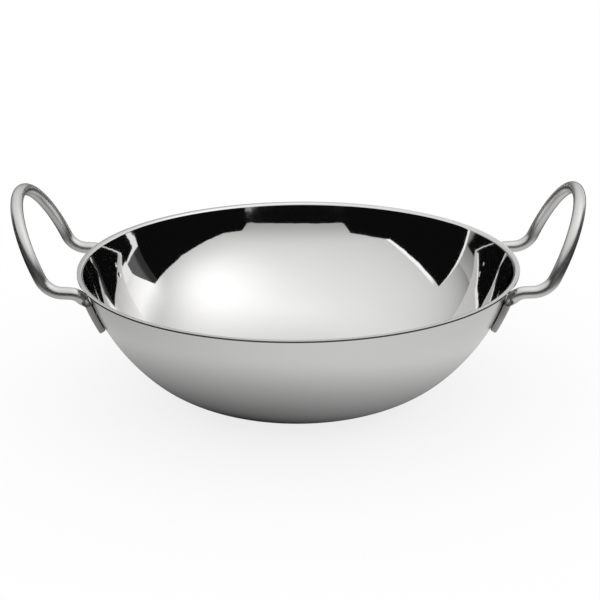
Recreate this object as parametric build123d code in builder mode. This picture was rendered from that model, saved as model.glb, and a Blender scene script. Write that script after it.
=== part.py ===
from build123d import *
import os
from math import asin, atan2, copysign, cos, degrees, pi, radians, sin, tan

# A pressed steel kadai: a round dish with a narrow flat lip and two bent rod handles.
# Lengths are in millimetres and angles in degrees. The origin is the middle of the
# dish's underside, +Z points up, and the handles stand at +X (right) and -X (left).

# Driving sizes of the dish
rim_diameter = 200.0
dish_height = 59.7
base_diameter = 70.0
sheet_thickness = 0.8
wall_slope = 18.5
wall_straight = 7.8
lip_turn_radius = 1.5
lip_flat = 1.3

# Driving sizes of the handles. The rod is drawn as its bender makes it, as bend
# radii and the straight lengths between them, all on the rod's centre line.
rod_diameter = 5.5
loop_width = 65.6
loop_lean = 23.7
loop_straight = 0.6
loop_bend_radius = 10.3
leg_straight = 3.6
leg_slope = 3.0
lip_bend_radius = 6.5
lip_bend_stand_off = 1.5
lip_bend_drop = 4.1
press_stand_off = 0.3

# Driving sizes of the pressed feet, whose ends are given as drops below the rim
foot_top_drop = 8.7
foot_end_drop = 21.1
foot_width = 8.2
foot_thickness = 3.0
seat_clearance = 0.1

# Driving sizes of the spot welds and of the marks they leave inside the dish
weld_count = 2
weld_pitch = 5.5
first_weld_below_bend = 3.3
weld_diameter = 4.0
weld_depth_in_wall = 0.4
weld_depth_in_foot = 0.5
mark_diameter = 3.0
mark_depth = 0.12

# Shares that set the shape of a bend, an edge or a section
lower_bend_share = 0.519
edge_round_share = 0.2
leg_station_shares = (0.2, 0.4, 0.6, 0.8)
round_power = 2.0
flat_power = 3.4
section_points = 16

quarter_turn = 90.0

# Outline of the dish, as radius and height of its outer face. A tight turn leads
# from the wall's straight upper part to the level lip, which ends at the rim.
rim_radius = rim_diameter / 2
base_radius = base_diameter / 2
rod_radius = rod_diameter / 2
slope = radians(wall_slope)
lip_under_radius = lip_turn_radius - sheet_thickness
wall_top_radius = rim_radius - lip_flat - lip_under_radius * cos(slope)
wall_top_height = dish_height - lip_turn_radius + lip_under_radius * sin(slope)
arc_top_radius = wall_top_radius - wall_straight * sin(slope)
arc_top_height = wall_top_height - wall_straight * cos(slope)

# Two tangent arcs lead from the flat base to the straight part. The lower one takes
# its share of the base's tangent, and the upper one closes the outline.
wall_run = arc_top_radius - base_radius
base_tangent = wall_run - arc_top_height * tan(slope)
lower_tangent = lower_bend_share * base_tangent
upper_tangent = (wall_run**2 + arc_top_height**2 - 2 * lower_tangent * wall_run) / (
    2 * (wall_run * sin(slope) + arc_top_height * cos(slope) + lower_tangent * (1 - sin(slope)))
)
join_run = wall_run - upper_tangent * sin(slope) - lower_tangent
join_height = arc_top_height - upper_tangent * cos(slope)
lower_turn = degrees(atan2(join_height, join_run))
upper_turn = quarter_turn - wall_slope - lower_turn
lower_radius = lower_tangent / tan(radians(lower_turn / 2))
upper_radius = upper_tangent / tan(radians(upper_turn / 2))
arc_centre_radius = arc_top_radius - upper_radius * cos(slope)
arc_centre_height = arc_top_height + upper_radius * sin(slope)
print(f"wall arcs: R{lower_radius:.1f} for {lower_turn:.1f} deg, R{upper_radius:.1f} for {upper_turn:.1f} deg")


def dish_outline(offset, turn_radius):
    """Draw one face of the sheet, from the dish's axis to the lip's edge."""
    base = Line((0, offset), (base_radius, offset))
    lower = JernArc(base @ 1, base % 1, lower_radius - offset, lower_turn)
    upper = JernArc(lower @ 1, lower % 1, upper_radius - offset, upper_turn)
    wall = PolarLine(upper @ 1, wall_straight, direction=upper % 1)
    turn = JernArc(wall @ 1, wall % 1, turn_radius, wall_slope - quarter_turn)
    return PolarLine(turn @ 1, lip_flat, direction=turn % 1)


# Each foot lies in an upright plane through the dish's axis, so that it faces the
# wall squarely. These are that plane's directions, for the foot at +X and +Y.
loop_half = loop_width / 2
lip_bend_distance = rim_radius + lip_bend_stand_off
foot_turn = asin(loop_half / lip_bend_distance)
outward = Vector(cos(foot_turn), sin(foot_turn), 0)
sideways = Vector(-sin(foot_turn), cos(foot_turn), 0)
up = Vector(0, 0, 1)


def wall_angle(drop):
    """The wall's angle from upright, in radians, at a drop below the rim."""
    return asin((arc_centre_height - dish_height + drop) / upper_radius)


def wall_point(angle, stand_off=0.0):
    """A point of the foot's plane that stands off the wall's outer face."""
    reach = upper_radius + stand_off
    height = arc_centre_height - reach * sin(angle)
    return outward * (arc_centre_radius + reach * cos(angle)) + up * height


def wall_normal(angle):
    """The direction straight out of the wall, in the foot's plane."""
    return outward * cos(angle) - up * sin(angle)


def wall_rise(angle):
    """The direction up along the wall, in the foot's plane."""
    return outward * sin(angle) + up * cos(angle)


def bend_tangent(radius, before, after):
    """The length that a bend of this radius takes from each straight beside it."""
    return radius * tan(radians(before.get_angle(after)) / 2)


# Corners of the rod's centre line, from the foot up to the crown of the loop
foot_top_angle = wall_angle(foot_top_drop)
foot_end_angle = wall_angle(foot_end_drop)
foot_centre = seat_clearance + foot_thickness / 2
foot_bend = wall_point(foot_top_angle, foot_centre)
lip_bend = outward * lip_bend_distance + up * (dish_height - lip_bend_drop)
rising = (lip_bend - foot_bend).normalized()
level = Vector(cos(radians(leg_slope)), 0, sin(radians(leg_slope)))
leaning = Vector(sin(radians(loop_lean)), 0, cos(radians(loop_lean)))
lip_tangent = bend_tangent(lip_bend_radius, rising, level)
loop_tangent = bend_tangent(loop_bend_radius, level, leaning)
press_start = lip_bend - rising * (lip_tangent + press_stand_off)
loop_bend = lip_bend + level * (lip_tangent + leg_straight + loop_tangent)
crown_start = loop_bend + leaning * (loop_tangent + loop_straight)
crown_top = crown_start + leaning * loop_half - Vector(0, loop_half, 0)
print(f"loop reaches {crown_top.X:.1f} out and {crown_top.Z - dish_height:.1f} above the rim")


def between(first, last, amount):
    """The value that lies this amount of the way from the first to the last."""
    return first + (last - first) * amount


def pressed_section(amount):
    """Draw the rod's section, from round (0) to pressed flat (1), as one closed curve."""
    half_width = between(rod_radius, foot_width / 2, amount)
    half_depth = between(rod_radius, foot_thickness / 2, amount)
    power = 2 / between(round_power, flat_power, amount)
    points = []
    for step in range(section_points):
        angle = 2 * pi * step / section_points
        across = copysign(half_width * abs(cos(angle)) ** power, cos(angle))
        through = copysign(half_depth * abs(sin(angle)) ** power, sin(angle))
        points.append((across, through))
    Spline(*points, periodic=True)


def press_amount(share):
    """How flat the rod is, at a share of the way from the foot to the round rod."""
    return 1 - share * share * (3 - 2 * share)


def weld_seat(number):
    """A weld's plane on the wall's outer face, with Z straight out of the wall."""
    angle = foot_top_angle + (first_weld_below_bend + number * weld_pitch) / upper_radius
    return Plane(origin=wall_point(angle), x_dir=sideways, z_dir=wall_normal(angle))


def cap_radius(diameter, depth):
    """The sphere's radius of a shallow round cap, from its width and depth."""
    return ((diameter / 2) ** 2 + depth**2) / (2 * depth)


# The spot welds of the right handle: lenses of fused metal, part in the wall and
# part in the foot
with BuildPart() as weld_nuggets_right:
    for number in range(weld_count):
        seat = weld_seat(number)
        with BuildSketch(Plane(origin=seat.origin, x_dir=seat.x_dir, z_dir=-seat.y_dir)):
            with BuildLine():
                deepest = (0, -weld_depth_in_wall)
                edge = (weld_diameter / 2, 0)
                highest = (0, weld_depth_in_foot)
                RadiusArc(deepest, edge, -cap_radius(weld_diameter, weld_depth_in_wall))
                RadiusArc(edge, highest, -cap_radius(weld_diameter, weld_depth_in_foot))
                Line(highest, deepest)
            make_face()
        revolve(axis=Axis(seat.origin, seat.z_dir))
    mirror(about=Plane.XZ)

with BuildPart() as weld_nuggets_left:
    mirror(weld_nuggets_right.part, about=Plane.YZ)

# The round dents that the welding tips leave in the dish's inner face
with BuildPart() as weld_marks:
    for number in range(weld_count):
        seat = weld_seat(number)
        radius = cap_radius(mark_diameter, mark_depth)
        centre = seat.origin - seat.z_dir * (sheet_thickness - mark_depth + radius)
        with Locations(centre):
            Sphere(radius)
    mirror(about=Plane.XZ)
    mirror(about=Plane.YZ)

# The dish: the sheet's section turned about the axis
with BuildPart() as bowl:
    with BuildSketch(Plane.XZ):
        with BuildLine():
            outer_face = dish_outline(0, lip_under_radius)
            inner_face = dish_outline(sheet_thickness, lip_turn_radius)
            Line((0, 0), (0, sheet_thickness))
            Line(outer_face @ 1, inner_face @ 1)
        make_face()
        fillet(vertices().group_by(Axis.X)[-1], sheet_thickness * edge_round_share)
    revolve(axis=Axis.Z)
    add(weld_marks.part, mode=Mode.SUBTRACT)
    add(weld_nuggets_right.part, mode=Mode.SUBTRACT)
    add(weld_nuggets_left.part, mode=Mode.SUBTRACT)

# The right handle: one flat foot bent to the wall's curve, the part that turns from
# flat to round, and half of the rod's bends, all then mirrored
with BuildPart() as handle_right:
    foot_top = Plane(origin=foot_bend, x_dir=sideways, z_dir=wall_rise(foot_top_angle))
    with BuildSketch(foot_top):
        with BuildLine():
            pressed_section(1)
        make_face()
    wall_arc_centre = wall_point(foot_top_angle, -upper_radius)
    foot_arc = degrees(foot_end_angle - foot_top_angle)
    revolve(axis=Axis(wall_arc_centre, sideways), revolution_arc=foot_arc)
    with BuildSketch(foot_top):
        with BuildLine():
            pressed_section(1)
        make_face()
    for share in leg_station_shares:
        place = between(foot_bend, press_start, share)
        with BuildSketch(Plane(origin=place, x_dir=sideways, z_dir=rising)):
            with BuildLine():
                pressed_section(press_amount(share))
            make_face()
    with BuildSketch(Plane(origin=press_start, x_dir=sideways, z_dir=rising)):
        Circle(rod_radius)
    loft(ruled=True)
    with BuildLine() as half_rod:
        corners = (press_start, lip_bend, loop_bend, crown_start)
        FilletPolyline(*corners, radius=[lip_bend_radius, loop_bend_radius])
        TangentArc(crown_start, crown_top, tangent=leaning)
    with BuildSketch(Plane(origin=press_start, x_dir=sideways, z_dir=rising)):
        Circle(rod_radius)
    sweep(path=half_rod.line)
    mirror(about=Plane.XZ)
    add(weld_nuggets_right.part, mode=Mode.SUBTRACT)

with BuildPart() as handle_left:
    mirror(handle_right.part, about=Plane.YZ)

# Each piece goes to its own file, named after it
os.makedirs("parts", exist_ok=True)
bowl.part.label = "bowl"
handle_left.part.label = "handle_left"
handle_right.part.label = "handle_right"
weld_nuggets_left.part.label = "weld_nuggets_left"
weld_nuggets_right.part.label = "weld_nuggets_right"
export_step(bowl.part, "parts/bowl.step")
export_step(handle_left.part, "parts/handle_left.step")
export_step(handle_right.part, "parts/handle_right.step")
export_step(weld_nuggets_left.part, "parts/weld_nuggets_left.step")
export_step(weld_nuggets_right.part, "parts/weld_nuggets_right.step")
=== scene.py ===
# %% [markdown]
# # A pressed steel kadai
# The kadai is a round dish, pressed from one sheet of stainless steel, with two
# handles of bent rod that are spot-welded under its lip. The CAD model gives every
# size and place. This script loads it as a fixed frame, lays a finely meshed
# surface over each piece that shows, and gives each its polish.

# %% Load the frame
import math
import bmesh
import bpy
from mathutils import Matrix, Vector


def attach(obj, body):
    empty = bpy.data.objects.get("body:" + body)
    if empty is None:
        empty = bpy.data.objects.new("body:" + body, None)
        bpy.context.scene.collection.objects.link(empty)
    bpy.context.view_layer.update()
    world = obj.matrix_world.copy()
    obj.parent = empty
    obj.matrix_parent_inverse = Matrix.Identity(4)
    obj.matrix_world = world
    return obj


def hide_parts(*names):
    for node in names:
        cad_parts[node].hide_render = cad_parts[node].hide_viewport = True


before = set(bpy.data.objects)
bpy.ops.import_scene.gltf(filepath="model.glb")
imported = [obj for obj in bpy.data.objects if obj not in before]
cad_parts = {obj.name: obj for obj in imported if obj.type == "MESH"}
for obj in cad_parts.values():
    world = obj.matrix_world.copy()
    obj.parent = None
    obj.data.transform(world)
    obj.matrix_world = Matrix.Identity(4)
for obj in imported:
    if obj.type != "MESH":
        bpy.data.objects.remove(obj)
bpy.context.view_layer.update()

# %% [markdown]
# ## One helper for every node tree
# Steel gets its look from small sums: how deep a ripple is, where a polished face
# ends. Sums are easier to read as Python than as twenty wired boxes, so a Wire
# stands for one socket, and arithmetic on it adds the Math nodes. The same class
# serves the trees that make shapes, because both kinds of tree know Math nodes.

# %% Wires and boards
class Wire:
    """One socket of a node tree. Arithmetic on it adds Math nodes."""

    def __init__(self, board, socket):
        self.board = board
        self.socket = socket

    def math(self, operation, *values):
        return self.board.node("ShaderNodeMath", {"operation": operation}, dict(enumerate(values)))

    def __add__(self, other):
        return self.math("ADD", self, other)

    def __radd__(self, other):
        return self.math("ADD", other, self)

    def __sub__(self, other):
        return self.math("SUBTRACT", self, other)

    def __rsub__(self, other):
        return self.math("SUBTRACT", other, self)

    def __mul__(self, other):
        return self.math("MULTIPLY", self, other)

    def __rmul__(self, other):
        return self.math("MULTIPLY", other, self)

    def __truediv__(self, other):
        return self.math("DIVIDE", self, other)

    def __rtruediv__(self, other):
        return self.math("DIVIDE", other, self)

    def __pow__(self, other):
        return self.math("POWER", self, other)

    def beside(self, name):
        """Another output of the same node."""
        return Wire(self.board, self.socket.node.outputs[name])


class Board:
    """A node tree that grows by one call for each node."""

    def __init__(self, tree):
        self.tree = tree

    def node(self, kind, settings=None, sockets=None, out=0):
        """Add a node: its settings first, then values or wires for its sockets."""
        made = self.tree.nodes.new(kind)
        for name, value in (settings or {}).items():
            if name == "stops":
                set_stops(made.color_ramp.elements, value)
            else:
                setattr(made, name, value)
        for name, value in (sockets or {}).items():
            if isinstance(value, Wire):
                self.tree.links.new(value.socket, made.inputs[name])
            else:
                made.inputs[name].default_value = value
        return Wire(self, made.outputs[out]) if made.outputs else made

    def vector(self, x, y, z):
        return self.node("ShaderNodeCombineXYZ", {}, {0: x, 1: y, 2: z})

    def vector_math(self, operation, first, second, out=0):
        return self.node("ShaderNodeVectorMath", {"operation": operation}, {0: first, 1: second}, out)

    def scaled(self, vector, factor):
        return self.node("ShaderNodeVectorMath", {"operation": "SCALE"}, {0: vector, "Scale": factor})


def set_stops(elements, stops):
    """Give a ramp its stops, as (place, colour) pairs."""
    while len(elements) < len(stops):
        elements.new(1.0)
    for element, (place, colour) in zip(elements, stops):
        element.position = place
        element.color = colour

# %% [markdown]
# ## Run a shape tree on a chain of points
# The dish is turned from one outline and a handle follows one bent line, so each
# is a chain of points and a rule. The rule is a Geometry Nodes tree with its sizes
# as inputs. Its result is kept as a plain mesh, because the export takes no live
# modifiers for granted, and a plain mesh can be measured at once.

# %% Chains and rules
mm = 0.001


def chain_mesh(name, points, **columns):
    """A mesh of points joined in a row, with a named value for each point."""
    mesh = bpy.data.meshes.new(name)
    links = [(index, index + 1) for index in range(len(points) - 1)]
    mesh.from_pydata([tuple(point) for point in points], links, [])
    for column, values in columns.items():
        kind = "FLOAT_VECTOR" if isinstance(values[0], Vector) else "FLOAT"
        attribute = mesh.attributes.new(column, kind, "POINT")
        for item, value in zip(attribute.data, values):
            if kind == "FLOAT":
                item.value = value
            else:
                item.vector = value
    return mesh


def new_rule(name, sizes):
    """A shape tree with named inputs. Returns its board and a wire for each input."""
    tree = bpy.data.node_groups.new(name, "GeometryNodeTree")
    tree.interface.new_socket("Chain", in_out="INPUT", socket_type="NodeSocketGeometry")
    for size, kind in sizes.items():
        tree.interface.new_socket(size, in_out="INPUT", socket_type="NodeSocket" + kind)
    tree.interface.new_socket("Shape", in_out="OUTPUT", socket_type="NodeSocketGeometry")
    board = Board(tree)
    given = board.node("NodeGroupInput")
    return board, {name: given.beside(name) for name in ["Chain", *sizes]}


def end_rule(board, shape, finish):
    """Close a tree: one realised mesh, shaded smooth, with its finish on it."""
    shape = board.node("GeometryNodeSetShadeSmooth", {}, {"Geometry": shape})
    shape = board.node("GeometryNodeRealizeInstances", {}, {0: shape})
    shape = board.node("GeometryNodeSetMaterial", {}, {"Geometry": shape, "Material": finish})
    board.node("NodeGroupOutput", {}, {0: shape})


def make_by_rule(name, chain, rule, sizes):
    """Run a rule on a chain, and keep what it makes as a plain mesh object."""
    draft = bpy.data.objects.new(name + "_draft", chain)
    bpy.context.collection.objects.link(draft)
    modifier = draft.modifiers.new("rule", "NODES")
    modifier.node_group = rule
    for item in rule.interface.items_tree:
        if item.item_type == "SOCKET" and item.in_out == "INPUT" and item.name in sizes:
            modifier[item.identifier] = sizes[item.name]
    graph = bpy.context.evaluated_depsgraph_get()
    mesh = bpy.data.meshes.new_from_object(
        draft.evaluated_get(graph), preserve_all_data_layers=True, depsgraph=graph
    )
    bpy.data.objects.remove(draft)
    mesh.name = name
    piece = bpy.data.objects.new(name, mesh)
    bpy.context.collection.objects.link(piece)
    return piece


def face_outwards(piece):
    """Turn all faces outwards, and print what the piece measures."""
    work = bmesh.new()
    work.from_mesh(piece.data)
    bmesh.ops.recalc_face_normals(work, faces=work.faces)
    if work.calc_volume(signed=True) < 0:
        bmesh.ops.reverse_faces(work, faces=work.faces)
    volume = work.calc_volume(signed=True)
    open_edges = sum(1 for edge in work.edges if not edge.is_manifold)
    triangles = sum(len(face.verts) - 2 for face in work.faces)
    work.to_mesh(piece.data)
    work.free()
    print(f"{piece.name}: {triangles} triangles, {open_edges} open edges, {volume * 1e6:.2f} cm3")

# %% [markdown]
# ## Steel
# Stainless steel has no colour layer: what shows is the studio, mirrored by a face
# that is more or less smooth. So each finish is a metal with a pale warm grey, and
# its work is done by roughness and by bumps a few thousandths of a millimetre high.
# The sheet is mirror-polished inside. A pressed sheet never stays quite flat, and
# the edges of what it mirrors come out wavy, which is the first bump here. Outside
# it is satin, brushed in rings by a belt while the dish turned.

# %% Start a finish
def new_finish(name, roughness, colour):
    """A metal material, with its board and its main shader node."""
    finish = bpy.data.materials.new(name)
    finish.use_nodes = True
    finish.diffuse_color = (*colour, 1.0)
    board = Board(finish.node_tree)
    shader = finish.node_tree.nodes["Principled BSDF"]
    shader.inputs["Metallic"].default_value = 1.0
    shader.inputs["Roughness"].default_value = roughness
    shader.inputs["Base Color"].default_value = (*colour, 1.0)
    return finish, board, shader


def noise(board, where, scale, detail=2.0, roughness=0.5, w=None):
    """A soft random pattern around 0, about -0.5 to 0.5 high."""
    settings = {"noise_dimensions": "3D" if w is None else "4D"}
    sockets = {"Vector": where, "Scale": scale, "Detail": detail, "Roughness": roughness}
    if w is not None:
        sockets["W"] = w
    return board.node("ShaderNodeTexNoise", settings, sockets) - 0.5


def tint(board, amount, first, second):
    """A colour between two greys or wires, by an amount from 0 to 1."""
    ends = [end if isinstance(end, Wire) else (*end, 1.0) for end in (first, second)]
    sockets = {"Factor": amount, 6: ends[0], 7: ends[1]}
    return board.node("ShaderNodeMix", {"data_type": "RGBA"}, sockets, out=2)


def step_up(board, value, start, end):
    """0 below start, 1 above end, and smooth between."""
    return board.node(
        "ShaderNodeMapRange",
        {"interpolation_type": "SMOOTHSTEP"},
        {"Value": value, "From Min": start, "From Max": end, "To Min": 0.0, "To Max": 1.0},
    )

# %% [markdown]
# ## The dish's outline
# The dish is one sheet with a flat base, two tangent arcs up the wall, a straight
# stretch under the lip, and a narrow flat lip behind a tight bend. Both faces are
# drawn as arcs about the same centres, so the sheet keeps its thickness. The points
# are set closer at the lip, where the light changes most over a millimetre.

# %% Sizes of the dish
rim_radius = 100.0 * mm
dish_height = 59.7 * mm
base_radius = 35.0 * mm
sheet = 0.8 * mm
wall_slope = math.radians(18.5)
wall_straight = 7.8 * mm
lip_top = 1.5 * mm
lip_flat = 1.3 * mm
edge_round = 0.05 * mm
lower_bend_share = 0.519

lip_under = lip_top - sheet
lip_centre = (rim_radius - lip_flat, dish_height - lip_top)
wall_end = (lip_centre[0] - lip_under * math.cos(wall_slope) - wall_straight * math.sin(wall_slope),
            lip_centre[1] + lip_under * math.sin(wall_slope) - wall_straight * math.cos(wall_slope))
run = wall_end[0] - base_radius
base_tangent = run - wall_end[1] * math.tan(wall_slope)
low = lower_bend_share * base_tangent
high = (run**2 + wall_end[1]**2 - 2 * low * run) / (
    2 * (run * math.sin(wall_slope) + wall_end[1] * math.cos(wall_slope) + low * (1 - math.sin(wall_slope)))
)
lower_turn = math.atan2(wall_end[1] - high * math.cos(wall_slope), run - high * math.sin(wall_slope) - low)
upper_turn = math.pi / 2 - wall_slope - lower_turn
lower_bend = low / math.tan(lower_turn / 2)
upper_bend = high / math.tan(upper_turn / 2)
lower_centre = (base_radius, lower_bend)
upper_centre = (wall_end[0] - upper_bend * math.cos(wall_slope),
                wall_end[1] + upper_bend * math.sin(wall_slope))
print(f"wall bends: {lower_bend / mm:.1f} mm and {upper_bend / mm:.1f} mm")

# %% Draw the outline
def arc(centre, radius, start, end, steps):
    """Points on an arc, as radius and height, between two angles from level."""
    angles = [start + (end - start) * step / steps for step in range(steps + 1)]
    return [(centre[0] + radius * math.cos(a), centre[1] + radius * math.sin(a)) for a in angles]


def face_outline(offset, lip_radius):
    """One face of the sheet, from the axis to just short of the lip's edge."""
    down = -math.pi / 2
    points = [(base_radius * share, offset) for share in (0, 0.02, 0.06, 0.14, 0.3, 0.5, 0.7, 0.85, 0.95)]
    points += arc(lower_centre, lower_bend - offset, down, down + lower_turn, 34)
    points += arc(upper_centre, upper_bend - offset, down + lower_turn, -wall_slope, 34)[1:]
    lip = arc(lip_centre, lip_radius, math.pi - wall_slope, math.pi / 2, 12)
    start = points[-1]
    for share in (0.12, 0.25, 0.38, 0.5, 0.62, 0.75, 0.87, 0.95, 0.99):
        points.append((start[0] + (lip[0][0] - start[0]) * share, start[1] + (lip[0][1] - start[1]) * share))
    points += lip
    points += [(lip_centre[0] + lip_flat * share, lip[-1][1]) for share in (0.05, 0.3, 0.6, 0.82)]
    return points


inner = face_outline(sheet, lip_top)
outer = face_outline(0.0, lip_under)
edge_centre = rim_radius - edge_round
edge = arc((edge_centre, inner[-1][1] - edge_round), edge_round, math.pi / 2, 0, 4)
edge += [(rim_radius, edge[-1][1] - edge_round / 2), (rim_radius, outer[-1][1] + edge_round * 1.5)]
edge += arc((edge_centre, outer[-1][1] + edge_round), edge_round, 0, -math.pi / 2, 4)
outline = inner + edge + outer[::-1]
inside = [1.0] * len(inner) + [0.0] * (len(edge) + len(outer))
print(f"outline: {len(outline)} points, {max(z for _, z in outline) / mm:.2f} mm high")

# %% [markdown]
# ## Finish of the dish
# The inside mirrors sharply and the outside blurs, so one mask, carried by the
# outline's points, leads from one to the other over the lip. The lip itself was
# trimmed and buffed by hand and is a little duller than the mirror below it. The
# tips of the spot welder left four pairs of small round dents near the handles.

# %% Places of the weld marks
foot_turn = math.asin(32.8 / 101.5)
mark_radius = 1.5 * mm
mark_depth = 0.12 * mm


def on_wall(drop_angle, reach):
    """A point of the foot's plane at this reach from the upper bend's centre."""
    out = upper_centre[0] + reach * math.cos(drop_angle)
    return Vector((out * math.cos(foot_turn), out * math.sin(foot_turn),
                   upper_centre[1] - reach * math.sin(drop_angle)))


foot_top_angle = math.asin((upper_centre[1] - dish_height + 8.7 * mm) / upper_bend)
foot_end_angle = math.asin((upper_centre[1] - dish_height + 21.1 * mm) / upper_bend)
mark_centres = []
for number in range(2):
    angle = foot_top_angle + (3.3 * mm + number * 5.5 * mm) / upper_bend
    mark_centres.append(on_wall(angle, upper_bend - sheet))
print("weld marks at:", [[round(value / mm, 1) for value in centre] for centre in mark_centres])

# %% Finish of the sheet
def dish_finish():
    """Mirror inside, satin outside, with ripples, polishing rings and weld marks."""
    finish, board, shader = new_finish("dish_steel", 0.1, (0.80, 0.795, 0.785))
    place = board.node("ShaderNodeTexCoord", out="Object")
    x = board.node("ShaderNodeSeparateXYZ", {}, {0: place}, out=0)
    y = x.beside("Y")
    z = x.beside("Z")
    reach = (x * x + y * y) ** 0.5
    far = reach + 0.0001
    within = board.node("ShaderNodeAttribute", {"attribute_name": "inside"}, out="Fac")
    lip = step_up(board, reach, 0.0972, 0.0978)
    cut_edge = step_up(board, reach, 0.09985, 0.09995)
    mirror = within * (1.0 - lip)

    # Rings that the polishing belt left: fine across the outline, long around it
    around = board.vector(reach * 2600.0, z * 2600.0, (x / far) * 2.5)
    rings = noise(board, around, 1.0, 3.0, 0.6, w=(y / far) * 2.5)
    broad = noise(board, place, 38.0, 2.0)

    # Ripples of the pressed sheet, and faint peel left by the press
    ripple = noise(board, place, 55.0, 1.0) * 0.000022
    peel = noise(board, place, 190.0, 1.0, 0.45) * 0.000011
    satin = rings * 0.0000011 * (1.0 - mirror) + rings * 0.0000001 * mirror

    # Weld marks: a shallow bowl at each place, mirrored to all four feet
    folded = board.vector(x.math("ABSOLUTE", x), y.math("ABSOLUTE", y), z)
    dents = None
    for centre in mark_centres:
        distance = board.vector_math("DISTANCE", folded, tuple(centre), out="Value")
        share = (distance / mark_radius).math("MINIMUM", distance / mark_radius, 1.0)
        dent = (1.0 - share * share) * (1.0 - share * share)
        dents = dent if dents is None else dents + dent
    height = ripple + peel + satin - dents * mark_depth * 0.5 * within
    bump = board.node("ShaderNodeBump", {}, {"Height": height, "Distance": 1.0, "Strength": 1.0})

    dull = (0.26 + rings * 0.05 + broad * 0.04) * (1.0 - lip * within * 0.4 - cut_edge * 0.6)
    bright = 0.035 + (rings * 0.02 + broad * 0.03) * 0.6
    roughness = bright * mirror + dull * (1.0 - mirror) + dents * 0.12 * within
    colour = tint(board, 0.5 + broad * 0.5 + rings * 0.25, (0.785, 0.78, 0.772), (0.83, 0.826, 0.82))
    links = board.tree.links
    links.new(bump.socket, shader.inputs["Normal"])
    links.new(roughness.socket, shader.inputs["Roughness"])
    links.new(colour.socket, shader.inputs["Base Color"])
    return finish


dish_steel = dish_finish()

# %% [markdown]
# ## Turn the dish
# A dish on a spinning chuck is its outline carried round an axis. The tree sweeps
# the outline's chain along a circle, and then sets each point by its own reach and
# height and by the circle's angle, so that no sweep rounding can move a face. The
# points that meet on the axis are merged, which closes both poles.

# %% Rule for a turned piece
def turning_rule():
    """A tree that turns a chain about the Z axis."""
    sizes = {"Steps around": "Int", "Merge below": "Float", "Finish": "Material"}
    board, given = new_rule("turn_about_axis", sizes)
    outline_curve = board.node("GeometryNodeMeshToCurve", {}, {0: given["Chain"]})
    steps = given["Steps around"]
    circle = board.node(
        "GeometryNodeCurvePrimitiveCircle", {"mode": "RADIUS"}, {"Resolution": steps, "Radius": 1.0}
    )
    turn = board.node("GeometryNodeInputIndex") / steps * (2 * math.pi)
    circle = board.node(
        "GeometryNodeStoreNamedAttribute",
        {"data_type": "FLOAT", "domain": "POINT"},
        {"Geometry": circle, "Name": "turn", "Value": turn},
    )
    shape = board.node("GeometryNodeCurveToMesh", {}, {"Curve": circle, "Profile Curve": outline_curve})
    named = {}
    for name in ("reach", "height", "turn"):
        named[name] = board.node("GeometryNodeInputNamedAttribute", {"data_type": "FLOAT"}, {"Name": name})
    cosine = named["turn"].math("COSINE", named["turn"])
    sine = named["turn"].math("SINE", named["turn"])
    place = board.vector(named["reach"] * cosine, named["reach"] * sine, named["height"])
    shape = board.node("GeometryNodeSetPosition", {}, {"Geometry": shape, "Position": place})
    shape = board.node(
        "GeometryNodeMergeByDistance", {}, {"Geometry": shape, "Distance": given["Merge below"]}
    )
    end_rule(board, shape, given["Finish"])
    return board.tree


# %% Make the dish
outline_chain = chain_mesh(
    "dish_outline",
    [(r, 0.0, z) for r, z in outline],
    reach=[r for r, _ in outline],
    height=[z for _, z in outline],
    inside=inside,
)
dish_sizes = {"Steps around": 360, "Merge below": 0.01 * mm, "Finish": dish_steel}
dish = make_by_rule("dish", outline_chain, turning_rule(), dish_sizes)
face_outwards(dish)
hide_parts("bowl")
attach(dish, "root")

# %% [markdown]
# ## The bent line of a handle
# A bender feeds straight rod and stops to bend it: a foot that follows the wall, a
# bend over the lip, a short level leg, a bend upwards, and a half-round crown. The
# line is drawn the same way, as corners with a bend radius each. Half of it is
# drawn and the other half is its mirror image.

# %% Sizes of a handle
rod_radius = 2.75 * mm
foot_half_width = 4.1 * mm
foot_half_thickness = 1.54 * mm
seat_gap = 0.02 * mm
kink_radius = 7.0 * mm
lip_bend_radius = 6.5 * mm
loop_bend_radius = 10.3 * mm
loop_half = 32.8 * mm
press_stand_off = 0.3 * mm

outward = Vector((math.cos(foot_turn), math.sin(foot_turn), 0.0))
sideways = Vector((-math.sin(foot_turn), math.cos(foot_turn), 0.0))
level = Vector((math.cos(math.radians(3.0)), 0.0, math.sin(math.radians(3.0))))
leaning = Vector((math.sin(math.radians(23.7)), 0.0, math.cos(math.radians(23.7))))

foot_reach = upper_bend + seat_gap + foot_half_thickness
foot_bend = on_wall(foot_top_angle, foot_reach)
lip_bend = outward * (rim_radius + 1.5 * mm) + Vector((0.0, 0.0, dish_height - 4.1 * mm))
rising = (lip_bend - foot_bend).normalized()


def bend_tangent(radius, before, after):
    """How much of each straight a bend takes up."""
    return radius * math.tan(before.angle(after) / 2)


lip_tangent = bend_tangent(lip_bend_radius, rising, level)
loop_tangent = bend_tangent(loop_bend_radius, level, leaning)
loop_bend = lip_bend + level * (lip_tangent + 3.6 * mm + loop_tangent)
crown_start = loop_bend + leaning * (loop_tangent + 0.6 * mm)
press_start = lip_bend - rising * (lip_tangent + press_stand_off)
print("crown top:", [round(value / mm, 1) for value in crown_start + leaning * loop_half])

# %% Draw the bent line
def straight(start, end, spacing=0.8 * mm):
    """Points along a straight, without its first one."""
    steps = max(1, round((end - start).length / spacing))
    return [start.lerp(end, step / steps) for step in range(1, steps + 1)]


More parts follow.
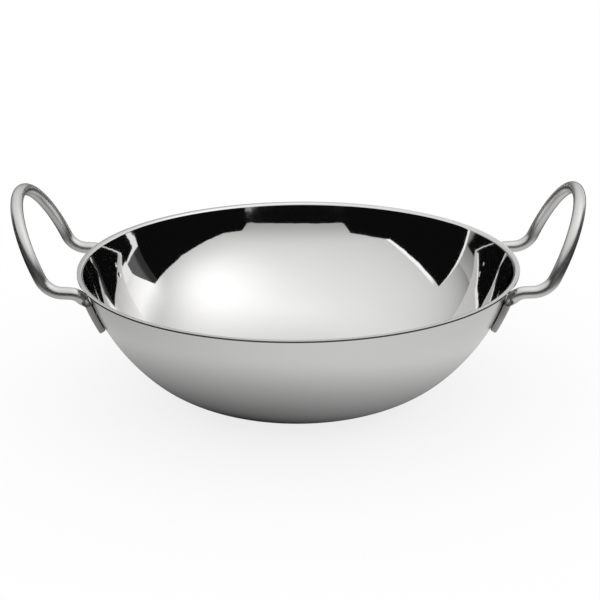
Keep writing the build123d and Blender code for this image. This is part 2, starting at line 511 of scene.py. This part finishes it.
def bend(corner, before, after, radius, spacing=0.6 * mm):
    """Points round a bend, with its first and last ones."""
    turn = before.angle(after)
    start = corner - before * (radius * math.tan(turn / 2))
    inwards = (after - before * before.dot(after)).normalized()
    steps = max(3, round(radius * turn / spacing))
    angles = [turn * step / steps for step in range(steps + 1)]
    return [start + before * (radius * math.sin(a)) + inwards * (radius * (1 - math.cos(a))) for a in angles]


up_the_wall = Vector((outward.x * math.sin(foot_top_angle), outward.y * math.sin(foot_top_angle),
                      math.cos(foot_top_angle)))
kink = bend(foot_bend, up_the_wall, rising, kink_radius, 0.15 * mm)
kink_share = (kink[0] - foot_bend).length / foot_reach
foot_steps = 16
half_line = []
for step in range(foot_steps):
    angle = foot_end_angle + (foot_top_angle + kink_share - foot_end_angle) * step / foot_steps
    half_line.append(on_wall(angle, foot_reach))
half_line += kink
over_lip = bend(lip_bend, rising, level, lip_bend_radius)
into_loop = bend(loop_bend, level, leaning, loop_bend_radius)
half_line += straight(kink[-1], over_lip[0], 0.4 * mm)
half_line += over_lip[1:]
half_line += straight(over_lip[-1], into_loop[0])
half_line += into_loop[1:]
half_line += straight(into_loop[-1], crown_start)
crown_centre = crown_start - Vector((0.0, loop_half, 0.0))
crown_steps = 48
for step in range(1, crown_steps + 1):
    angle = math.pi / 2 * step / crown_steps
    across = Vector((0.0, loop_half * math.cos(angle), 0.0))
    half_line.append(crown_centre + across + leaning * (loop_half * math.sin(angle)))
print(f"half line: {len(half_line)} points")

# %% Values along the line
def press_at(point):
    """How flat the rod is at a point of the half line: 1 on the foot, 0 on the loop."""
    share = (point - foot_bend).dot(rising) / (press_start - foot_bend).length
    share = min(max(share, 0.0), 1.0)
    return 1 - share * share * (3 - 2 * share)


def mirrored(vector):
    return Vector((vector.x, -vector.y, vector.z))


press = [press_at(point) for point in half_line]
sides = [sideways] * len(half_line)
line = half_line + [mirrored(point) for point in half_line[-2::-1]]
press = press + press[-2::-1]
sides = sides + [mirrored(side) for side in sides[-2::-1]]
along = [0.0]
for first, second in zip(line, line[1:]):
    along.append(along[-1] + (second - first).length)
print(f"rod: {along[-1] / mm:.0f} mm long")

# %% [markdown]
# ## Finish of the handles
# The rod was drawn through a die, which left fine lines along it, and then tumbled
# to a soft shine. The lines follow the rod round every bend, so the pattern reads
# a value that the shape tree stores: the place around the rod and along it. The
# feet were squeezed flat afterwards. Painted shade darkens them and the legs up
# to the lip.

# %% Finish of the rod
def rod_finish():
    """Tumbled steel rod with draw lines along it, and painted shade on the pressed feet."""
    finish, board, shader = new_finish("rod_steel", 0.2, (0.76, 0.755, 0.745))
    place = board.node("ShaderNodeTexCoord", out="Object")
    grain = board.node("ShaderNodeAttribute", {"attribute_name": "grain"}, out="Vector")
    pressed = board.node("ShaderNodeAttribute", {"attribute_name": "press"}, out="Fac")
    x = board.node("ShaderNodeSeparateXYZ", {}, {0: grain}, out=0)
    lines_at = board.vector(x * 9.0, x.beside("Y") * 9.0, x.beside("Z") * 45.0)
    lines = noise(board, lines_at, 1.0, 3.0, 0.6)
    tumble = noise(board, place, 420.0, 2.0, 0.5)
    broad = noise(board, place, 60.0, 2.0)
    height = lines * 0.0000007 + tumble * 0.0000003 * (0.5 + pressed) + broad * 0.00001
    bump = board.node("ShaderNodeBump", {}, {"Height": height, "Distance": 1.0, "Strength": 1.0})
    roughness = 0.29 + lines * 0.08 + broad * 0.08 + pressed * 0.05
    polished = tint(board, 0.5 + broad * 0.8 + lines * 0.5, (0.66, 0.655, 0.645), (0.74, 0.735, 0.725))
    # Painted shade: the pressed feet and the legs up to the lip are darkened towards a dark grey, varied by
    # a broad random pattern.
    colour = tint(board, pressed * (0.85 + broad), polished, (0.33, 0.322, 0.31))
    links = board.tree.links
    links.new(bump.socket, shader.inputs["Normal"])
    links.new(roughness.socket, shader.inputs["Roughness"])
    links.new(colour.socket, shader.inputs["Base Color"])
    return finish


rod_steel = rod_finish()

# %% [markdown]
# ## Sweep the rod
# The tree sweeps a circle along the bent line, then squeezes it: each point keeps
# its place around the rod, and is moved to a flat section with rounded corners as
# the line's own press value rises from 0 to 1. That is what the press does too, and
# it keeps the round rod and the flat foot in one skin without a seam.

# %% Rule for a pressed rod
def rod_rule():
    """A tree that sweeps a rod along a chain and presses it flat where the chain says."""
    sizes = {"Rod radius": "Float", "Half width": "Float", "Half thickness": "Float",
             "Corner power": "Float", "Steps around": "Int", "Finish": "Material"}
    board, given = new_rule("press_rod", sizes)
    rod = given["Rod radius"]
    path = board.node("GeometryNodeMeshToCurve", {}, {0: given["Chain"]})
    ring = board.node(
        "GeometryNodeCurvePrimitiveCircle",
        {"mode": "RADIUS"},
        {"Resolution": given["Steps around"], "Radius": rod},
    )
    spot = board.node("GeometryNodeInputPosition")
    ring = board.node(
        "GeometryNodeStoreNamedAttribute",
        {"data_type": "FLOAT_VECTOR", "domain": "POINT"},
        {"Geometry": ring, "Name": "ring", "Value": board.scaled(spot, 1.0 / rod_radius)},
    )
    shape = board.node(
        "GeometryNodeCurveToMesh", {}, {"Curve": path, "Profile Curve": ring, "Fill Caps": True}
    )
    press_value = board.node("GeometryNodeInputNamedAttribute", {"data_type": "FLOAT"}, {"Name": "press"})
    centre = board.node("GeometryNodeInputNamedAttribute", {"data_type": "FLOAT_VECTOR"}, {"Name": "centre"})
    side = board.node("GeometryNodeInputNamedAttribute", {"data_type": "FLOAT_VECTOR"}, {"Name": "side"})
    offset = board.vector_math("SUBTRACT", spot, centre)
    across = board.vector_math("DOT_PRODUCT", offset, side, out="Value")
    through = board.vector_math("SUBTRACT", offset, board.scaled(side, across))
    depth = board.node("ShaderNodeVectorMath", {"operation": "LENGTH"}, {0: through}, out="Value")
    direction = board.node("ShaderNodeVectorMath", {"operation": "NORMALIZE"}, {0: through})
    power = 2.0 / (2.0 + (given["Corner power"] - 2.0) * press_value)
    width = rod + (given["Half width"] - rod) * press_value
    thickness = rod + (given["Half thickness"] - rod) * press_value
    sign = across.math("SIGN", across)
    flat_across = sign * width * (across.math("ABSOLUTE", across) / rod) ** power
    flat_through = thickness * (depth / rod) ** power
    moved = board.vector_math("ADD", board.scaled(side, flat_across), board.scaled(direction, flat_through))
    pressed = board.vector_math("ADD", centre, moved)
    flat = board.node("FunctionNodeCompare", {"operation": "GREATER_THAN"}, {0: press_value, 1: 0.0001})
    shape = board.node(
        "GeometryNodeSetPosition", {}, {"Geometry": shape, "Selection": flat, "Position": pressed}
    )
    ring_place = board.node(
        "GeometryNodeInputNamedAttribute", {"data_type": "FLOAT_VECTOR"}, {"Name": "ring"}
    )
    ring_x = board.node("ShaderNodeSeparateXYZ", {}, {0: ring_place}, out=0)
    distance = board.node("GeometryNodeInputNamedAttribute", {"data_type": "FLOAT"}, {"Name": "along"})
    shape = board.node(
        "GeometryNodeStoreNamedAttribute",
        {"data_type": "FLOAT_VECTOR", "domain": "POINT"},
        {"Geometry": shape, "Name": "grain", "Value": board.vector(ring_x, ring_x.beside("Y"), distance)},
    )
    end_rule(board, shape, given["Finish"])
    return board.tree


# %% Make both handles
def soften_ends(piece, width):
    """Take the sharp edge off the sheared ends of the feet, as tumbling does."""
    work = bmesh.new()
    work.from_mesh(piece.data)
    ends = [face for face in work.faces if len(face.verts) > 8]
    rims = {edge for face in ends for edge in face.edges}
    bmesh.ops.bevel(work, geom=list(rims), offset=width, segments=2, profile=0.5, affect="EDGES")
    work.to_mesh(piece.data)
    work.free()
    return len(ends)


handle_rule = rod_rule()
handle_sizes = {"Rod radius": rod_radius, "Half width": foot_half_width,
                "Half thickness": foot_half_thickness, "Corner power": 4.6,
                "Steps around": 48, "Finish": rod_steel}
hands = (("handle_loop_right", "handle_right", 1.0), ("handle_loop_left", "handle_left", -1.0))
for name, node, hand in hands:
    flip = Matrix.Diagonal((hand, 1.0, 1.0))
    points = [flip @ point for point in line]
    chain = chain_mesh(name + "_line", points, press=press, side=[flip @ side for side in sides],
                       centre=points, along=along)
    loop = make_by_rule(name, chain, handle_rule, handle_sizes)
    ends = soften_ends(loop, 0.12 * mm)
    face_outwards(loop)
    print(f"{name}: {ends} sheared ends softened")
    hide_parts(node)
    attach(loop, "root")

# %% [markdown]
# ## The spot welds
# Each foot is held by two buttons of metal that melted together between foot and
# wall. Almost nothing of them shows: a dark line of scale in the gap. The CAD
# solids have the right shape, so they stay and only get the finish of steel that
# has set again, dull, grainy and a little straw-coloured by the heat.

# %% Finish of the welds
def weld_finish():
    """Steel that melted and set again: dull and grainy, with a heat tint."""
    finish, board, shader = new_finish("weld_steel", 0.5, (0.55, 0.53, 0.50))
    place = board.node("ShaderNodeTexCoord", out="Object")
    grain = noise(board, place, 1800.0, 3.0, 0.6)
    heat = noise(board, place, 300.0, 2.0)
    bump = board.node("ShaderNodeBump", {}, {"Height": grain * 0.00003, "Distance": 1.0, "Strength": 1.0})
    colour = tint(board, 0.5 + heat + grain * 0.5, (0.46, 0.42, 0.36), (0.62, 0.60, 0.57))
    links = board.tree.links
    links.new(bump.socket, shader.inputs["Normal"])
    links.new((0.48 + grain * 0.25).socket, shader.inputs["Roughness"])
    links.new(colour.socket, shader.inputs["Base Color"])
    return finish


weld_steel = weld_finish()
for node in ("weld_nuggets_left", "weld_nuggets_right"):
    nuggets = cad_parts[node]
    for place in nuggets.material_slots:
        place.material = weld_steel
    print(f"{node}: {len(nuggets.material_slots)} material slots painted")

# %% [markdown]
# ## The studio
# Polished steel shows its studio more than itself. The dish stood on a white floor
# under a large bright ceiling, between black screens that hide the room. The
# screens' top edges draw the dark shapes along the far wall of the dish, and a
# brighter patch of the ceiling, to the right, draws the glow on the left of it.
# A dark curtain beyond the right screen draws the grey wedge near the left end.
# Only mirrored rays see these cards, so the plain white world still lights
# everything evenly, and a colour renders about as it is written.

# %% A flat finish for the studio
def glow_finish(name, paint):
    """A surface that shines by itself, by the strength that paint works out."""
    finish = bpy.data.materials.new(name)
    finish.use_nodes = True
    board = Board(finish.node_tree)
    finish.node_tree.nodes.remove(finish.node_tree.nodes["Principled BSDF"])
    shine = board.node("ShaderNodeEmission", {}, {"Color": (1.0, 1.0, 1.0, 1.0), "Strength": paint(board)})
    output = finish.node_tree.nodes["Material Output"]
    board.tree.links.new(shine.socket, output.inputs["Surface"])
    return finish


def card(name, corners, faces, finish):
    """A flat card of the studio, which only mirrored rays can see."""
    mesh = bpy.data.meshes.new(name)
    mesh.from_pydata(corners, [], faces)
    mesh.materials.append(finish)
    made = bpy.data.objects.new(name, mesh)
    bpy.context.collection.objects.link(made)
    made.visible_camera = False
    made.visible_diffuse = False
    made.visible_shadow = False
    made.visible_transmission = False
    made.visible_volume_scatter = False
    return made

# %% Floor and world
floor_half = 4.0
floor_mesh = bpy.data.meshes.new("floor")
floor_corners = [(-floor_half, -floor_half, 0), (floor_half, -floor_half, 0),
                 (floor_half, floor_half, 0), (-floor_half, floor_half, 0)]
floor_mesh.from_pydata(floor_corners, [], [(0, 1, 2, 3)])
floor_paint = bpy.data.materials.new("floor_white")
floor_paint.use_nodes = True
floor_board = Board(floor_paint.node_tree)
floor_paint.node_tree.nodes.remove(floor_paint.node_tree.nodes["Principled BSDF"])
rays = floor_board.node("ShaderNodeLightPath", out="Is Camera Ray")
seen = rays + rays.beside("Is Glossy Ray") + rays.beside("Is Transmission Ray")
matt = floor_board.node("ShaderNodeBsdfDiffuse", {}, {"Color": (1.0, 1.0, 1.0, 1.0)})
bright = floor_board.node("ShaderNodeEmission", {}, {"Color": (1.0, 1.0, 1.0, 1.0), "Strength": 1.0})
mixed = floor_board.node("ShaderNodeMixShader", {}, {0: seen * 0.8, 1: matt, 2: bright})
floor_board.tree.links.new(mixed.socket, floor_paint.node_tree.nodes["Material Output"].inputs["Surface"])
floor_mesh.materials.append(floor_paint)
floor = bpy.data.objects.new("floor", floor_mesh)
bpy.context.collection.objects.link(floor)

world = bpy.data.worlds.new("white_room")
world.use_nodes = True
world.node_tree.nodes["Background"].inputs["Color"].default_value = (1.0, 1.0, 1.0, 1.0)
world.node_tree.nodes["Background"].inputs["Strength"].default_value = 1.0
bpy.context.scene.world = world

# %% [markdown]
# The edges of the ceiling are given per metre of its height over the rim, because
# that is what the mirrored picture shows: a direction. The height then sets how
# much the picture shifts between one side of the dish and the other.

# %% Ceiling and screens
ceiling_rise = 0.8
ceiling_height = dish_height + ceiling_rise
screen_edge = [(-1.90, 0.70), (-1.90, -1.15), (-1.75, -1.20), (-1.05, -1.65), (-1.14, -2.18),
               (-1.11, -2.28), (1.30, -2.28), (1.42, -2.22), (1.30, -1.75), (1.75, -1.50),
               (1.95, -1.00), (2.10, -0.30), (2.10, 0.66)]
curtain_edge = [(2.10, 0.66), (2.10, 0.80), (4.0, 2.3)]
back_edge = [(4.0, 2.3), (4.0, 3.2), (-4.0, 3.2), (-4.0, 1.5)]


def over_rim(edge_points, height):
    """Corners at a height, from places given per metre of the ceiling's rise."""
    return [(ceiling_rise * x, ceiling_rise * y, height) for x, y in edge_points]


# %% [markdown]
# The ceiling is brightest overhead and dims outwards, as a lit cloth does. A lamp
# behind it makes the glow on the right, a strip along its left edge draws the
# bright line on the right of the dish, and the far right corner is brighter too.

# %% Light of the ceiling
overhead_light = 0.98
outward_dimming = 0.148
glow_x, glow_y = 0.9, -0.15
glow_spread = 0.5
glow_light = 0.45
strip_light = 0.45
corner_light = 0.6
viewer_side_light = 0.69


def plan_place(board):
    """Where a card is hit, per metre of the ceiling's rise: X, Y and the height."""
    place = board.node("ShaderNodeTexCoord", out="Object")
    x = board.node("ShaderNodeSeparateXYZ", {}, {0: place}, out=0)
    return x / ceiling_rise, x.beside("Y") / ceiling_rise, (x.beside("Z") - dish_height) / ceiling_rise


def ceiling_light(board):
    """Bright overhead and on the right, dimmer outwards and towards the viewer."""
    x, y, _ = plan_place(board)
    reach = (x * x + y * y) ** 0.5
    glow_reach = ((x - glow_x) * (x - glow_x) + (y - glow_y) * (y - glow_y)) / glow_spread
    glow = (glow_reach * -1.0).math("EXPONENT", glow_reach * -1.0)
    fade = viewer_side_light + step_up(board, y, -2.2, -1.1) * (1.0 - viewer_side_light)
    strip = (1.0 - step_up(board, x, -1.79, -1.76)) * (1.0 - step_up(board, y, 0.3, 0.6))
    corner = step_up(board, x, 1.3, 2.3) * step_up(board, y, 0.3, 1.0)
    main = (overhead_light - reach * outward_dimming + glow * glow_light) * fade
    return main + strip * strip_light + corner * corner_light

# %% [markdown]
# Low down at the back the studio ends in dark cloth. The curtain on the right is
# grey above a black skirt, with a bright slit where the two meet, and the slit
# rises with the distance. The backdrop is black near the floor as well.

# %% Light of the curtain and the backdrop
black_light = 0.004
slit_light = 0.9
slit_width = 0.06
curtain_near, curtain_far = 0.03, 0.12
backdrop_right = 0.95


def curtain_light(board):
    """A dark grey curtain over a black skirt, with a bright slit between them."""
    x, _, share = plan_place(board)
    line = share - x * 0.2 + 0.17
    over_slit = step_up(board, line, slit_width, slit_width + 0.01)
    slit = step_up(board, line, 0.0, 0.01) - over_slit
    cloth = curtain_near + step_up(board, x, 2.1, 2.5) * (curtain_far - curtain_near)
    return black_light + slit * slit_light + over_slit * cloth


def backdrop_light(board):
    """Black near the floor, and above that bright on the right and grey on the left."""
    x, _, share = plan_place(board)
    right = step_up(board, x, -0.5, 0.5)
    on_right = step_up(board, share, 0.56, 0.62) * backdrop_right
    on_left = step_up(board, share, 0.42, 0.47) * (0.1 + share * 0.35)
    return black_light + on_right * right + on_left * (1.0 - right)

# %% [markdown]
# In a studio the screens, the curtain and the backdrop are cloths that hang from
# the ceiling's edge to the floor. Lamps behind real cloths would light the dish as
# well. Flat faces that shine by themselves only change what the steel mirrors, and
# one sum sets the light of each.

# %% Hang the cards
ceiling_glow = glow_finish("ceiling_glow", ceiling_light)
screen_black = glow_finish("screen_black", lambda board: black_light)
curtain_glow = glow_finish("curtain_glow", curtain_light)
backdrop_glow = glow_finish("backdrop_glow", backdrop_light)

ceiling_corners = over_rim(screen_edge + curtain_edge[1:2] + back_edge, ceiling_height)
card("ceiling", ceiling_corners, [tuple(range(len(ceiling_corners)))], ceiling_glow)


def hang(name, edge, finish):
    """Upright cards from the ceiling to the floor, along an edge seen from above."""
    count = len(edge)
    corners = over_rim(edge, ceiling_height) + over_rim(edge, 0.0)
    faces = [(index, index + 1, count + index + 1, count + index) for index in range(count - 1)]
    card(name, corners, faces, finish)
    print(f"{name}: {count - 1} cards")


hang("screens", screen_edge, screen_black)
hang("curtain", curtain_edge, curtain_glow)
hang("backdrop", back_edge, backdrop_glow)

# %% [markdown]
# The satin outside mirrors a card for the table top, and its light and shade are
# painted: a painted shadow of the dish under the base, bright beside it, painted
# shade out to the sides, more on the left, and painted shade again from a hand's
# width out, standing for the shade of the black screens. That last part darkens
# the lip's cut edge.

# %% Table top with painted shadow
shade_start, shade_end = 0.053, 0.118
shade_light, table_lightest = 0.005, 0.68
shade_stretch = 1.1
shade_to_left = 0.008
dark_start, dark_end = 0.165, 0.225


def table_light(board):
    """Painted shadow under the dish, painted light beside it, and painted shade from a hand's width out."""
    place = board.node("ShaderNodeTexCoord", out="Object")
    x = board.node("ShaderNodeSeparateXYZ", {}, {0: place}, out=0)
    y = x.beside("Y")
    reach = (x * x + y * y) ** 0.5
    # Painted shadow of the dish: darkest near the middle, lightest from a short way out.
    shifted = x * shade_stretch + shade_to_left
    near = board.node(
        "ShaderNodeMapRange", {},
        {"Value": (shifted * shifted + y * y) ** 0.5, "From Min": shade_start, "From Max": shade_end,
         "To Min": shade_light, "To Max": table_lightest},
    )
    # Painted shade out to the sides, more on the left, and painted shade again from a hand's width out.
    side = 1.0 + x * 0.8 - x * x * 9.0
    far = 1.0 - step_up(board, reach, dark_start, dark_end) * 0.9
    return near * far * side.math("MAXIMUM", side, 0.3)


table_painted_shadow = glow_finish("table_painted_shadow", table_light)
table_steps = 96
table_hole = 0.036
table_half = 1.2
ring_points = []
for reach in (table_hole, table_half):
    for step in range(table_steps):
        turn = 2 * math.pi * step / table_steps
        ring_points.append((reach * math.cos(turn), reach * math.sin(turn), 0.05 * mm))
ring_faces = [(step, table_steps + step, table_steps + (step + 1) % table_steps, (step + 1) % table_steps)
              for step in range(table_steps)]
card("painted_shadow_table", ring_points, ring_faces, table_painted_shadow)
print(f"studio: ceiling {ceiling_rise} m over the rim")

# %% [markdown]
# ## The camera
# The photograph looks down on the rim by 18 degrees, from 62 cm away. The lens and
# its aim were worked out from the rim's ellipse and both handles, and the aim is a
# little below the middle of the frame, so it is built from directions here.

# %% Camera
view_down = math.radians(18.15)
view_turn = math.radians(1.1)
view_roll = math.radians(-0.48)
view_distance = 0.62
focal_pixels = 1357.9
frame_pixels = 600.0
aim_pixel = (298.6, 260.9)

up = Vector((0.0, 0.0, 1.0))
away = Vector((math.sin(view_turn) * math.cos(view_down),
               -math.cos(view_turn) * math.cos(view_down),
               math.sin(view_down)))
ahead = -away
right = ahead.cross(up).normalized()
above = right.cross(ahead)
look = (ahead + right * ((frame_pixels / 2 - aim_pixel[0]) / focal_pixels)
        - above * ((frame_pixels / 2 - aim_pixel[1]) / focal_pixels)).normalized()
right = look.cross(up).normalized()
above = right.cross(look)
rolled_right = right * math.cos(view_roll) + above * math.sin(view_roll)
rolled_up = above * math.cos(view_roll) - right * math.sin(view_roll)
camera_data = bpy.data.cameras.new("camera")
camera_data.sensor_width = 36.0
camera_data.lens = 36.0 * focal_pixels / frame_pixels
camera = bpy.data.objects.new("camera", camera_data)
bpy.context.collection.objects.link(camera)
turned = Matrix((rolled_right, rolled_up, -look)).transposed().to_4x4()
camera.matrix_world = Matrix.Translation(Vector((0.0, 0.0, dish_height)) + away * view_distance) @ turned
bpy.context.scene.camera = camera
bpy.context.scene.view_settings.view_transform = "Standard"
camera_place = [round(value, 3) for value in camera.matrix_world.translation]
print(f"camera: {camera_data.lens:.1f} mm lens at", camera_place)
